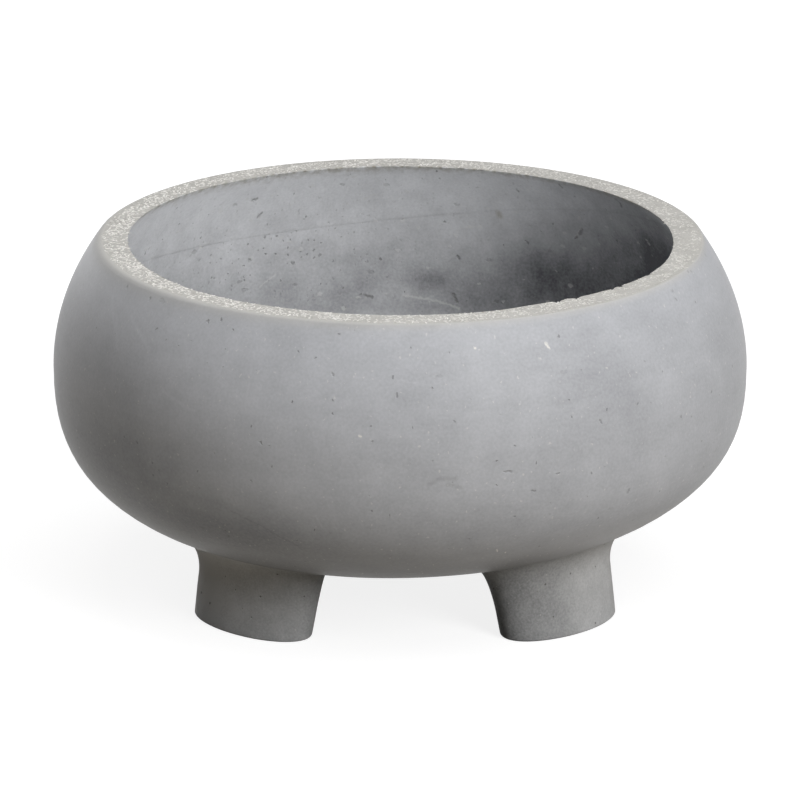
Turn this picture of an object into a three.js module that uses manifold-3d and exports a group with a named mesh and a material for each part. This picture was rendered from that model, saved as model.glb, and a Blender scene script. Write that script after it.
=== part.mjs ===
// A low bowl planter of fibre-reinforced concrete on four splayed legs.
// The bowl is one thin shell. Each leg is cast by itself, pinned to the underside with two steel
// dowels and bedded in mortar, and a rubber plug closes the drain hole in the middle of the floor.
// Millimetres, +Z up, with the origin on the ground under the middle of the bowl.

import * as THREE from 'three';
import { mergeVertices } from 'three/addons/utils/BufferGeometryUtils.js';
import Module from 'manifold-3d';

// ---------------------------------------------------------------- driving dimensions

// Bowl
const BOWL_RADIUS = 225; // widest, at the belly
const GROUND_CLEARANCE = 31; // under the middle of the bowl
const BELLY_RISE = 115; // from the bowl's lowest point up to its widest
const RIM_RISE = 84; // from the belly up to the ground rim
const RIM_INSET = 29.7; // how far the rim's outer edge lies inside the belly
const LOWER_FULLNESS = 2.65; // 2 is an ellipse, more is squarer
const UPPER_FULLNESS = 1.95;
const WALL = 16; // square to the surface
const FLOOR = 22; // under the middle, where the drain hole is
const RIM_ARRIS = 1.5; // the worn edges of the rim

// Drain hole, cast round a tapered former
const DRAIN_TOP_DIAMETER = 27;
const DRAIN_BOTTOM_DIAMETER = 24;

// Legs: tapered oval posts whose feet stand further out than their tops
const LEG_BEARINGS = { back_right: 45, back_left: 135, front_left: 225, front_right: 315 }; // from +X
const FOOT_CIRCLE_RADIUS = 138.5; // from the bowl's axis to the middle of a foot
const FOOT_LENGTH = 95; // along the circle
const FOOT_WIDTH = 50; // towards the axis
const LEG_SPLAY = 12; // degrees from upright
const LEG_FLARE = 0.05; // growth of the half-length and half-width for each mm of height
const FOOT_EDGE = 2; // rounded edge of the foot

// Mortar between leg and bowl
const MORTAR_BED = 3; // over the top of the leg
const FILLET_HEIGHT = 18; // of the struck hollow round the top of the leg
const FILLET_OUTSIDE = 13; // how far it runs out over the bowl on the leg's outer side
const FILLET_INSIDE = 2.5; // and on the side towards the axis, where there is less room for the tool
const MORTAR_EDGE = 1; // thickness where the fillet runs out

// Steel dowels, two in each leg
const DOWEL_DIAMETER = 8;
const DOWEL_IN_LEG = 24;
const DOWEL_IN_BOWL = 9;
const DOWEL_SPACING = 46; // between the two, along the leg
const DOWEL_CHAMFER = 0.8;

// Rubber drain plug
const PLUG_FLANGE_DIAMETER = 44;
const PLUG_FLANGE_THICKNESS = 4;
const PLUG_KNOB_DIAMETER = 15;
const PLUG_KNOB_ROUNDING = 4.5; // height of the knob's domed top, and of its straight side below
const PLUG_NECK_DIAMETER = 9;
const PLUG_NECK_HEIGHT = 3; // room for fingertips between flange and knob
const PLUG_RIB_COUNT = 2; // sealing ribs round the stem
const PLUG_RIB_WIDTH = 3.6;
const PLUG_RIB_HEIGHT = 0.9;
const PLUG_RECESS = 3; // stem's end above the bowl's underside

// Clearances
const SEAT_GAP = 0.3; // between two pieces that touch
const DOWEL_SOCKET_GAP = 0.5; // past a dowel's ends

// Fineness of the curved faces
const BOWL_SEGMENTS = 72;
const LOWER_STEPS = 12;
const UPPER_STEPS = 6;
const LEG_SEGMENTS = 32;
const ARC_STEPS = 3;
const DOWEL_SEGMENTS = 12;
const PLUG_SEGMENTS = 24;

// ---------------------------------------------------------------- values worked out from them

const QUARTER_TURN = Math.PI / 2;
const BELLY_HEIGHT = GROUND_CLEARANCE + BELLY_RISE;
const RIM_HEIGHT = BELLY_HEIGHT + RIM_RISE;
const RIM_RADIUS = BOWL_RADIUS - RIM_INSET;
const DRAIN_BOTTOM_RADIUS = DRAIN_BOTTOM_DIAMETER / 2;
const DRAIN_TOP_RADIUS = DRAIN_TOP_DIAMETER / 2;
const DOWEL_RADIUS = DOWEL_DIAMETER / 2;
const BISECTION_STEPS = 50;
const MEETING_STEPS = 12;

// The upper half is cut off at the rim. This is how high it would reach if it closed over the mouth.
const rimShare = (RIM_RADIUS / BOWL_RADIUS) ** UPPER_FULLNESS;
const DOME_RISE = RIM_RISE / (1 - rimShare) ** (1 / UPPER_FULLNESS);

const wasm = await Module();
wasm.setup();

// ---------------------------------------------------------------- the bowl's curve

// A point of a superellipse quadrant and its outward direction. The angle is 0 at the belly and a
// quarter turn on the axis, and side is 1 above the belly and -1 below it.
function quadrantPoint(angle, rise, fullness, side) {
  const across = Math.cos(angle) ** (2 / fullness);
  const along = Math.sin(angle) ** (2 / fullness);
  const point = new THREE.Vector2(BOWL_RADIUS * across, BELLY_HEIGHT + side * rise * along);
  const outward = new THREE.Vector2(
    across ** (fullness - 1) / BOWL_RADIUS,
    side * along ** (fullness - 1) / rise,
  );
  return { point, outward: outward.normalize() };
}

const lowerPoint = (angle) => quadrantPoint(angle, BELLY_RISE, LOWER_FULLNESS, -1);
const upperPoint = (angle) => quadrantPoint(angle, DOME_RISE, UPPER_FULLNESS, 1);
const offsetPoint = ({ point, outward }, distance) => point.clone().addScaledVector(outward, distance);

// The wall grows from its plain thickness at the belly to the floor's thickness at the bottom.
function lowerWallPoint(angle) {
  const sample = lowerPoint(angle);
  const depth = (BELLY_HEIGHT - sample.point.y) / BELLY_RISE;
  return offsetPoint(sample, -(WALL + (FLOOR - WALL) * depth ** 3));
}

const upperWallPoint = (angle) => offsetPoint(upperPoint(angle), -WALL);

// Height of the bowl's underside at a distance from the axis.
function undersideHeight(radius) {
  const across = Math.min(1, radius / BOWL_RADIUS);
  return BELLY_HEIGHT - BELLY_RISE * (1 - across ** LOWER_FULLNESS) ** (1 / LOWER_FULLNESS);
}

// The angle from 0 up to a quarter turn at which a rising (or falling) measure reaches its target.
function angleWhere(measure, target) {
  let low = 0;
  let high = QUARTER_TURN;
  const rising = measure(high) > measure(low);
  for (let step = 0; step < BISECTION_STEPS; step++) {
    const middle = (low + high) / 2;
    const short = rising ? measure(middle) < target : measure(middle) > target;
    if (short) low = middle;
    else high = middle;
  }
  return (low + high) / 2;
}

function sampled(curve, from, to, steps) {
  return Array.from({ length: steps + 1 }, (_, i) => curve(THREE.MathUtils.lerp(from, to, i / steps)));
}

// ---------------------------------------------------------------- solids

// Spins an outline of (radius, height) points about +Z.
function revolved(outline, segments) {
  return new THREE.LatheGeometry(outline, segments).rotateX(QUARTER_TURN);
}

// Skins a stack of rings, lowest first, each with the same number of points counted
// anticlockwise from above, and closes both ends.
function skinned(rings) {
  const count = rings[0].length;
  const last = rings.length - 1;
  const positions = rings.flat().flatMap((p) => [p.x, p.y, p.z]);
  const middleOf = (ring) => ring.reduce((sum, p) => sum.add(p), new THREE.Vector3()).divideScalar(count);
  for (const ring of [rings[0], rings[last]]) positions.push(...middleOf(ring).toArray());
  const bottomMiddle = rings.length * count;
  const topMiddle = bottomMiddle + 1;
  const faces = [];
  for (let i = 0; i < count; i++) {
    const next = (i + 1) % count;
    faces.push(bottomMiddle, next, i);
    faces.push(topMiddle, last * count + i, last * count + next);
    for (let level = 0; level < last; level++) {
      const below = level * count;
      const above = below + count;
      faces.push(below + i, below + next, above + next);
      faces.push(below + i, above + next, above + i);
    }
  }
  const geometry = new THREE.BufferGeometry();
  geometry.setAttribute('position', new THREE.Float32BufferAttribute(positions, 3));
  geometry.setIndex(faces);
  return geometry;
}

// A closed mesh as a solid that can be cut. A revolved shape has no-area faces on its axis,
// which are left out.
function toSolid(geometry) {
  const bare = geometry.clone();
  bare.deleteAttribute('normal');
  bare.deleteAttribute('uv');
  const merged = mergeVertices(bare);
  const corners = merged.index.array;
  const triVerts = [];
  for (let i = 0; i < corners.length; i += 3) {
    const [a, b, c] = corners.slice(i, i + 3);
    if (a !== b && b !== c && c !== a) triVerts.push(a, b, c);
  }
  return new wasm.Manifold(new wasm.Mesh({
    numProp: 3,
    vertProperties: Float32Array.from(merged.attributes.position.array),
    triVerts: Uint32Array.from(triVerts),
  }));
}

function toGeometry(solid) {
  const { vertProperties, triVerts } = solid.getMesh();
  const geometry = new THREE.BufferGeometry();
  geometry.setAttribute('position', new THREE.BufferAttribute(Float32Array.from(vertProperties), 3));
  geometry.setIndex(Array.from(triVerts));
  geometry.computeVertexNormals();
  return geometry;
}

// The underside, from the drain hole's edge to the belly. Whatever meets the bowl from below is cut
// with facets at the same places, so that the gap between them is even.
const drainBottomAngle = angleWhere((angle) => lowerPoint(angle).point.x, DRAIN_BOTTOM_RADIUS);

function underside(gap) {
  return sampled((angle) => offsetPoint(lowerPoint(angle), gap), drainBottomAngle, 0, LOWER_STEPS);
}

// The lower half of the bowl as one block, grown by a gap, for cutting what meets the underside.
function undersideBlock(gap) {
  const curve = underside(gap);
  const outline = [new THREE.Vector2(0, curve[0].y), ...curve, new THREE.Vector2(0, BELLY_HEIGHT)];
  return toSolid(revolved(outline, BOWL_SEGMENTS));
}

// ---------------------------------------------------------------- legs

// All of this is for a leg on the +X side of the bowl.
// A point of its face at a height and an angle round the leg, pushed out by a distance.
function legPoint(angle, height, outset) {
  const lean = Math.tan(THREE.MathUtils.degToRad(LEG_SPLAY)) * height;
  const halfWidth = FOOT_WIDTH / 2 + LEG_FLARE * height;
  const halfLength = FOOT_LENGTH / 2 + LEG_FLARE * height;
  const outward = new THREE.Vector2(Math.cos(angle) / halfWidth, Math.sin(angle) / halfLength).normalize();
  return new THREE.Vector3(
    FOOT_CIRCLE_RADIUS - lean + halfWidth * Math.cos(angle) + outset * outward.x,
    halfLength * Math.sin(angle) + outset * outward.y,
    height,
  );
}

function legRing(pointAt) {
  return Array.from({ length: LEG_SEGMENTS }, (_, i) => pointAt((i / LEG_SEGMENTS) * 2 * Math.PI));
}

// The leg runs up into the bowl and is cut off below it by a bed of mortar.
function legBlock(outset, bed) {
  const foot = sampled((turn) => {
    const inset = FOOT_EDGE * (1 - Math.sin(turn));
    const height = FOOT_EDGE * (1 - Math.cos(turn));
    return legRing((angle) => legPoint(angle, height, outset - inset));
  }, 0, QUARTER_TURN, ARC_STEPS);
  const top = legRing((angle) => legPoint(angle, BELLY_HEIGHT, outset));
  return toSolid(skinned([...foot, top])).subtract(undersideBlock(bed));
}

// Where a leg's face would meet the bowl.
function meetingHeight(angle) {
  let height = undersideHeight(FOOT_CIRCLE_RADIUS);
  for (let step = 0; step < MEETING_STEPS; step++) {
    const p = legPoint(angle, height, 0);
    height = undersideHeight(Math.hypot(p.x, p.y));
  }
  return height;
}

// ---------------------------------------------------------------- dowels

// Each dowel stands upright through the middle of the leg's top.
function dowelPlaces() {
  const seat = undersideHeight(FOOT_CIRCLE_RADIUS);
  const middle = legPoint(QUARTER_TURN, seat - DOWEL_IN_LEG / 2, 0).x;
  return [-1, 1].map((side) => new THREE.Vector2(middle, (side * DOWEL_SPACING) / 2));
}

function dowelSpan(place) {
  const seat = undersideHeight(place.length());
  return { bottom: seat - MORTAR_BED - DOWEL_IN_LEG, top: seat + DOWEL_IN_BOWL };
}

function dowelGeometry(place) {
  const { bottom, top } = dowelSpan(place);
  const outline = [
    new THREE.Vector2(0, bottom),
    new THREE.Vector2(DOWEL_RADIUS - DOWEL_CHAMFER, bottom),
    new THREE.Vector2(DOWEL_RADIUS, bottom + DOWEL_CHAMFER),
    new THREE.Vector2(DOWEL_RADIUS, top - DOWEL_CHAMFER),
    new THREE.Vector2(DOWEL_RADIUS - DOWEL_CHAMFER, top),
    new THREE.Vector2(0, top),
  ];
  return revolved(outline, DOWEL_SEGMENTS).translate(place.x, place.y, 0);
}

// The socket that a dowel stands in, through leg, mortar and bowl alike.
function dowelSocket(place) {
  const { bottom, top } = dowelSpan(place);
  const height = top - bottom + 2 * DOWEL_SOCKET_GAP;
  const radius = DOWEL_RADIUS + SEAT_GAP;
  const socket = new THREE.CylinderGeometry(radius, radius, height, DOWEL_SEGMENTS).rotateX(QUARTER_TURN);
  return toSolid(socket.translate(place.x, place.y, (bottom + top) / 2));
}

const dowelSockets = dowelPlaces().map(dowelSocket).reduce((all, socket) => all.add(socket));

// ---------------------------------------------------------------- pieces

function bowlShell() {
  const rimTop = RIM_HEIGHT - RIM_ARRIS;
  const drainTop = angleWhere((angle) => lowerWallPoint(angle).x, DRAIN_TOP_RADIUS);
  const outerEdge = angleWhere((angle) => upperPoint(angle).point.y, rimTop);
  const innerEdge = angleWhere((angle) => upperWallPoint(angle).y, rimTop);
  const mouth = upperWallPoint(innerEdge).x;
  const outline = [
    ...underside(0),
    ...sampled((angle) => upperPoint(angle).point, 0, outerEdge, UPPER_STEPS).slice(1),
    new THREE.Vector2(RIM_RADIUS - RIM_ARRIS, RIM_HEIGHT),
    new THREE.Vector2(mouth + RIM_ARRIS, RIM_HEIGHT),
    ...sampled(upperWallPoint, innerEdge, 0, UPPER_STEPS),
    ...sampled(lowerWallPoint, 0, drainTop, LOWER_STEPS).slice(1),
  ];
  outline.push(outline[0].clone());
  let shell = toSolid(revolved(outline, BOWL_SEGMENTS));
  for (const bearing of Object.values(LEG_BEARINGS)) {
    shell = shell.subtract(dowelSockets.rotate([0, 0, bearing]));
  }
  return toGeometry(shell);
}

function legGeometry() {
  return toGeometry(legBlock(0, MORTAR_BED).subtract(dowelSockets));
}

// The bed over the leg and the hollow fillet round it. The fillet is a quarter of an oval between the
// leg's face and the underside, and follows both all the way round the leg.
function mortarGeometry() {
  const fillet = sampled((turn) => legRing((angle) => {
    const inward = (1 - Math.cos(angle)) / 2;
    const reach = THREE.MathUtils.lerp(FILLET_OUTSIDE, FILLET_INSIDE, inward) - MORTAR_EDGE;
    const outset = MORTAR_EDGE + reach * (1 - Math.cos(turn));
    const drop = MORTAR_EDGE + (FILLET_HEIGHT - MORTAR_EDGE) * (1 - Math.sin(turn));
    const p = legPoint(angle, meetingHeight(angle) - drop, outset);
    return p.setZ(undersideHeight(Math.hypot(p.x, p.y)) - drop);
  }), 0, QUARTER_TURN, ARC_STEPS + 1);
  const rim = fillet[fillet.length - 1].map((p) => p.clone().setZ(BELLY_HEIGHT));
  const block = toSolid(skinned([...fillet, rim])).subtract(undersideBlock(SEAT_GAP));
  return toGeometry(block.subtract(legBlock(SEAT_GAP, MORTAR_BED - SEAT_GAP)).subtract(dowelSockets));
}

// The stem of the drain plug, from its lower end up to the flange, a gap inside the tapered hole.
function plugStem(bottom, top) {
  const onStem = (height, proud) => {
    const hole = THREE.MathUtils.mapLinear(
      height, GROUND_CLEARANCE, GROUND_CLEARANCE + FLOOR, DRAIN_BOTTOM_RADIUS, DRAIN_TOP_RADIUS);
    return new THREE.Vector2(hole - SEAT_GAP - PLUG_RIB_HEIGHT + proud, height);
  };
  const outline = [onStem(bottom, 0)];
  for (let rib = 0; rib < PLUG_RIB_COUNT; rib++) {
    const crest = bottom + (top - bottom) * (rib + 0.5) / PLUG_RIB_COUNT;
    outline.push(onStem(crest - PLUG_RIB_WIDTH / 2, 0));
    outline.push(onStem(crest, PLUG_RIB_HEIGHT));
    outline.push(onStem(crest + PLUG_RIB_WIDTH / 2, 0));
  }
  outline.push(onStem(top, 0));
  return outline;
}

// A stopper whose flange lies on the floor, with sealing ribs on its stem and a knob to pull.
function drainPlug() {
  const flangeRadius = PLUG_FLANGE_DIAMETER / 2;
  const seat = lowerWallPoint(angleWhere((angle) => lowerWallPoint(angle).x, flangeRadius)).y;
  const flangeBottom = seat + SEAT_GAP;
  const flangeTop = flangeBottom + PLUG_FLANGE_THICKNESS;
  const stemBottom = GROUND_CLEARANCE + PLUG_RECESS;
  const rounding = PLUG_FLANGE_THICKNESS / 2;
  const flangeEdge = sampled((turn) => new THREE.Vector2(
    flangeRadius - rounding + rounding * Math.cos(turn),
    flangeBottom + rounding + rounding * Math.sin(turn),
  ), -QUARTER_TURN, QUARTER_TURN, 2 * ARC_STEPS);
  const neckTop = flangeTop + PLUG_NECK_HEIGHT;
  const knobTop = sampled((turn) => new THREE.Vector2(
    (PLUG_KNOB_DIAMETER / 2) * Math.cos(turn),
    neckTop + PLUG_KNOB_ROUNDING * (1 + Math.sin(turn)),
  ), 0, QUARTER_TURN, ARC_STEPS);
  knobTop[ARC_STEPS].x = 0;
  return revolved([
    new THREE.Vector2(0, stemBottom),
    ...plugStem(stemBottom, flangeBottom),
    ...flangeEdge,
    new THREE.Vector2(PLUG_NECK_DIAMETER / 2, flangeTop),
    new THREE.Vector2(PLUG_NECK_DIAMETER / 2, neckTop),
    new THREE.Vector2(PLUG_KNOB_DIAMETER / 2, neckTop),
    ...knobTop,
  ], PLUG_SEGMENTS);
}

// ---------------------------------------------------------------- assembly

const concrete = new THREE.MeshStandardMaterial({ color: 0xaeada9, roughness: 0.85, metalness: 0 });
const mortar = new THREE.MeshStandardMaterial({ color: 0xa6a49e, roughness: 0.95, metalness: 0 });
const steel = new THREE.MeshStandardMaterial({ color: 0xb9bcc0, roughness: 0.35, metalness: 1 });
const rubber = new THREE.MeshStandardMaterial({ color: 0x232425, roughness: 0.7, metalness: 0 });

function piece(name, geometry, material) {
  const mesh = new THREE.Mesh(geometry, material);
  mesh.name = name;
  return mesh;
}

function legAssembly(name, bearing) {
  const group = new THREE.Group();
  group.rotation.z = THREE.MathUtils.degToRad(bearing);
  group.add(piece(`leg_${name}`, legGeometry(), concrete));
  group.add(piece(`mortar_${name}`, mortarGeometry(), mortar));
  dowelPlaces().forEach((place, i) => {
    group.add(piece(`dowel_${name}_${i + 1}`, dowelGeometry(place), steel));
  });
  return group;
}

const planter = new THREE.Group();
planter.add(piece('bowl_shell', bowlShell(), concrete));
for (const [name, bearing] of Object.entries(LEG_BEARINGS)) planter.add(legAssembly(name, bearing));
planter.add(piece('drain_plug', drainPlug(), rubber));

export default planter;
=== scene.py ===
import math
import bpy
import numpy as np
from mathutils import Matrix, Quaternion, Vector, noise

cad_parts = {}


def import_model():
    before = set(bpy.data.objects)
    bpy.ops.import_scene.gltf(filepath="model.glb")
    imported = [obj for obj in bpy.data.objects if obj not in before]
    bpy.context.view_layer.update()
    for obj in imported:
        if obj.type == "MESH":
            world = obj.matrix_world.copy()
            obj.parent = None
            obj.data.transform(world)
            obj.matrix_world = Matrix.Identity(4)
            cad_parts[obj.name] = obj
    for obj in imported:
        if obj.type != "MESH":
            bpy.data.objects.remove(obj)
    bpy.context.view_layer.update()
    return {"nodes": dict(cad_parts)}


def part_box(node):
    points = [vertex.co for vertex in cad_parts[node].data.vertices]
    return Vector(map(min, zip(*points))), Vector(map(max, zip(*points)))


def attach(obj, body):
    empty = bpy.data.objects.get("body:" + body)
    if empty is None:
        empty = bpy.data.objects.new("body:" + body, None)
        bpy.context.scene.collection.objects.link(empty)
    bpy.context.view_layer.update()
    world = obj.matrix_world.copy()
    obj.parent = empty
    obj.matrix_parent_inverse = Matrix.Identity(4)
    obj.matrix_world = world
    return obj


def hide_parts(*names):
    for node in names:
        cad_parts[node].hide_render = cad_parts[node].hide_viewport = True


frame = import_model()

# ---------------------------------------------------------------- sizes, in metres

MM = 0.001

# From the frame
BOWL_LOW, BOWL_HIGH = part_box("bowl_shell")
BOWL_RADIUS = BOWL_HIGH.x
RIM_HEIGHT = BOWL_HIGH.z
CLEARANCE = BOWL_LOW.z
PLUG_LOW, PLUG_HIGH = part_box("drain_plug")
PLUG_FLANGE_RADIUS = PLUG_HIGH.x

# The bowl's curve, as it was drawn
BELLY_RISE = 115 * MM
RIM_INSET = 29.7 * MM
LOWER_FULLNESS = 2.65
UPPER_FULLNESS = 1.95
WALL = 16 * MM
FLOOR = 22 * MM
DRAIN_TOP_RADIUS = 13.5 * MM
DRAIN_BOTTOM_RADIUS = 12 * MM
WALL_FROM = 0.78 * BOWL_RADIUS  # further out than this the bowl is more wall than floor
BELLY_HEIGHT = CLEARANCE + BELLY_RISE
RIM_RISE = RIM_HEIGHT - BELLY_HEIGHT
RIM_RADIUS = BOWL_RADIUS - RIM_INSET
DOME_RISE = RIM_RISE / (1 - (RIM_RADIUS / BOWL_RADIUS) ** UPPER_FULLNESS) ** (1 / UPPER_FULLNESS)

# The legs and their mortar, as they were drawn
LEG_BEARINGS = {"back_right": 45, "back_left": 135, "front_left": 225, "front_right": 315}
FOOT_CIRCLE_RADIUS = 138.5 * MM
FOOT_LENGTH = 95 * MM
FOOT_WIDTH = 50 * MM
LEG_SPLAY = math.radians(12)
LEG_FLARE = 0.05
MORTAR_BED = 3 * MM

# The stopper, as it was drawn
STEM_CLEARANCE = 1.2 * MM
RIB_COUNT = 2
RIB_HALF_HEIGHT = 1.8 * MM
RIB_STANDS_OUT = 0.9 * MM
FLANGE_THICKNESS = 4 * MM
NECK_RADIUS = 4.5 * MM
NECK_LENGTH = 3 * MM
KNOB_RADIUS = 7.5 * MM
KNOB_HEIGHT = 9 * MM

# What hand work did to it, which the drawing leaves out
RIM_GRIND = 0.5 * MM  # the ground face lies this far below the ends of the strands
RIM_ROUGHNESS = 0.07 * MM
CASTING_LEAN = math.radians(1.0)  # the lower half leans, low on the left
LEG_SHIFT = 2.6 * MM  # the four legs stand a little to the right of the bowl's axis
FOOT_EDGE = 1.3 * MM  # the edge of the feet is sharper than it was drawn
MOUTH_WAVE_DEPTH = 22 * MM  # the mouth's waves die away down the wall
CHIP_DEPTH = 2.5 * MM
SKIN_WAVE, WALL_WAVE, WALL_DENTS, LEG_WAVE = 0.15 * MM, 0.35 * MM, 0.12 * MM, 0.22 * MM
FEATHER = -0.04 * MM  # the mortar is struck out until it runs into the leg's face

# The struck hollow round the top of each leg, in mm: how far it runs out over the bowl, and its height.
# The four are at the leg's outer side, right end, inner side and left end, as seen from outside.
FILLET_REACH = {
    "back_right": (13, 7.8, 2.5, 7.8), "back_left": (13, 7.8, 2.5, 7.8),
    "front_left": (13, 3.5, 0.8, 6.9), "front_right": (14, 9, 2.5, 9)}
FILLET_HEIGHT = {
    "back_right": (18, 18, 18, 18), "back_left": (18, 18, 18, 18),
    "front_left": (20, 30, 20, 20), "front_right": (19, 19, 19, 34)}

# Painted light and shade on each leg: how much paler or darker all round, and how much more on its side
# towards +X
LEG_PAINTED_LIGHT = {
    "back_right": (0, 0), "back_left": (0, 0),
    "front_left": (0.02, -0.3), "front_right": (-0.24, 0.31)}

# ---------------------------------------------------------------- the bowl's curve


def quadrant(angle, rise, fullness, side):
    """Radius and height of the skin, and its way out. The angle is 0 at the belly and a quarter turn
    on the axis."""
    across = np.cos(angle) ** (2 / fullness)
    along = np.sin(angle) ** (2 / fullness)
    out_r = across ** (fullness - 1) / BOWL_RADIUS
    out_z = side * along ** (fullness - 1) / rise
    length = np.hypot(out_r, out_z)
    return BOWL_RADIUS * across, BELLY_HEIGHT + side * rise * along, out_r / length, out_z / length


def lower_skin(angle):
    return quadrant(angle, BELLY_RISE, LOWER_FULLNESS, -1)


def upper_skin(angle):
    return quadrant(angle, DOME_RISE, UPPER_FULLNESS, 1)


def lower_wall(angle):
    """The inner face below the belly, where the wall thickens into the floor."""
    r, z, out_r, out_z = lower_skin(angle)
    thickness = WALL + (FLOOR - WALL) * ((BELLY_HEIGHT - z) / BELLY_RISE) ** 3
    return r - thickness * out_r, z - thickness * out_z, -out_r, -out_z


def upper_wall(angle):
    r, z, out_r, out_z = upper_skin(angle)
    return r - WALL * out_r, z - WALL * out_z, -out_r, -out_z


def angle_where(curve, coordinate, target):
    """The angle, for each target, at which a curve's radius (0) or height (1) reaches it."""
    angles = np.linspace(1e-4, math.pi / 2 - 1e-4, 4000)
    values = curve(angles)[coordinate]
    order = np.argsort(values)
    return np.interp(target, values[order], angles[order])


def lean(x, z):
    """How much higher the skin lies at x and z than it was drawn."""
    depth = np.clip((BELLY_HEIGHT - z) / BELLY_RISE, 0, 1)
    return x * math.tan(CASTING_LEAN) * depth * depth * (3 - 2 * depth)


def underside(x, y):
    share = np.minimum(1, np.hypot(x, y) / BOWL_RADIUS)
    z = BELLY_HEIGHT - BELLY_RISE * (1 - share**LOWER_FULLNESS) ** (1 / LOWER_FULLNESS)
    return z + lean(x, z)


# ---------------------------------------------------------------- making meshes


def fractal(points, size, seed, detail=2):
    """Smooth noise between about -1 and 1 at each point, with waves of that size."""
    shift = Vector((17.3 * seed, -9.1 * seed, 5.7 * seed))
    waves = [noise.fractal(Vector(p) / size + shift, 1.0, 2.0, detail) for p in points.reshape(-1, 3)]
    return np.array(waves).reshape(points.shape[:-1])


def bump_at(value, middle, width):
    """1 at the middle, falling smoothly to nearly 0 past a width to each side."""
    return np.exp(-(((value - middle) / width) ** 2))


def grid_faces(rows, columns, closed_rows):
    """Quads over a grid whose columns go anticlockwise and whose rows go up the outside."""
    row = np.arange(rows if closed_rows else rows - 1)[:, None]
    column = np.arange(columns)[None, :]
    above, beside = (row + 1) % rows, (column + 1) % columns
    lower = [row * columns + column, row * columns + beside]
    upper = [above * columns + beside, above * columns + column]
    return np.stack(lower + upper, -1).reshape(-1, 4)


def skinned(rings):
    """Points and faces of a stack of rings, lowest first, closed by a point at each end."""
    rings = np.asarray(rings)
    rows, columns = rings.shape[:2]
    points = np.concatenate([rings.reshape(-1, 3), rings[0].mean(0)[None], rings[-1].mean(0)[None]])
    faces = grid_faces(rows, columns, False).tolist()
    last = (rows - 1) * columns
    for i in range(columns):
        beside = (i + 1) % columns
        faces.append((rows * columns, beside, i))
        faces.append((rows * columns + 1, last + i, last + beside))
    return points, faces


def smooth_piece(name, points, faces, materials, face_slots=None, **measures):
    """A smooth-shaded mesh. Each measure is kept at the points, for the materials to read."""
    mesh = bpy.data.meshes.new(name)
    mesh.from_pydata(points.tolist(), [], faces if isinstance(faces, list) else faces.tolist())
    for material in materials:
        mesh.materials.append(material)
    if face_slots is not None:
        mesh.polygons.foreach_set("material_index", face_slots)
    mesh.polygons.foreach_set("use_smooth", [True] * len(mesh.polygons))
    for measure, values in measures.items():
        mesh.attributes.new(measure, "FLOAT", "POINT").data.foreach_set("value", np.ravel(values))
    mesh.update()
    piece = bpy.data.objects.new(name, mesh)
    bpy.context.scene.collection.objects.link(piece)
    return piece


def finish_piece(piece, body, slot, *nodes):
    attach(piece, body)
    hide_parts(*nodes)


# ---------------------------------------------------------------- materials


def linear(hex_colour):
    """An sRGB hex colour as a linear RGBA one."""
    parts = [int(hex_colour[i : i + 2], 16) / 255 for i in (1, 3, 5)]
    return (*[c / 12.92 if c <= 0.04045 else ((c + 0.055) / 1.055) ** 2.4 for c in parts], 1)


def add(tree, kind, inputs=None, **settings):
    """A node with its settings, whose inputs are values or other nodes' outputs."""
    made = tree.nodes.new(kind)
    for name, value in settings.items():
        setattr(made, name, value)
    for socket, value in (inputs or {}).items():
        if isinstance(value, bpy.types.NodeSocket):
            tree.links.new(value, made.inputs[socket])
        else:
            made.inputs[socket].default_value = value
    return made


def new_material(name):
    """A material, its empty tree and its Object coordinates, which are metres in the frame."""
    material = bpy.data.materials.new(name)
    material.use_nodes = True
    tree = material.node_tree
    tree.nodes.clear()
    place = add(tree, "ShaderNodeTexCoord").outputs["Object"]
    return material, tree, place


def number_of(tree, operation, *values, **settings):
    """What an operation makes of values or other nodes' outputs."""
    return add(tree, "ShaderNodeMath", dict(enumerate(values)), operation=operation, **settings).outputs[0]


def vector_of(tree, operation, *values):
    """The same for vectors. A length, a distance and a dot product are single values."""
    made = add(tree, "ShaderNodeVectorMath", dict(enumerate(values)), operation=operation).outputs
    return made["Value" if operation in ("LENGTH", "DISTANCE", "DOT_PRODUCT") else "Vector"]


def ramp(tree, value, start, end, low=0, high=1, **settings):
    """A value that goes from low to high as another goes from start to end."""
    spread = {"Value": value, "From Min": start, "From Max": end, "To Min": low, "To Max": high}
    return add(tree, "ShaderNodeMapRange", spread, **settings).outputs[0]


def measured(tree, *measures):
    """What is kept at the points of a mesh, by name."""
    return [add(tree, "ShaderNodeAttribute", attribute_name=name).outputs["Fac"] for name in measures]


def weighted(tree, start, *terms):
    """start plus each socket times its weight."""
    total = start
    for socket, weight in terms:
        total = number_of(tree, "MULTIPLY_ADD", socket, weight, total)
    return total


def patches(tree, place, size, seed, stretch=(1, 1, 1), turn=(0, 0, 0), detail=3.0):
    """Cloudy variation between about -1 and 1, in patches of that size, made longer where the stretch
    is below 1."""
    laid = {"Vector": place, "Location": (seed, 0.7 * seed, -seed), "Rotation": turn, "Scale": stretch}
    laid = add(tree, "ShaderNodeMapping", laid).outputs[0]
    cloud = add(tree, "ShaderNodeTexNoise", {"Vector": laid, "Scale": 1 / size, "Detail": detail})
    return ramp(tree, cloud.outputs[0], 0.3, 0.7, -1, 1, clamp=False)


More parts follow.
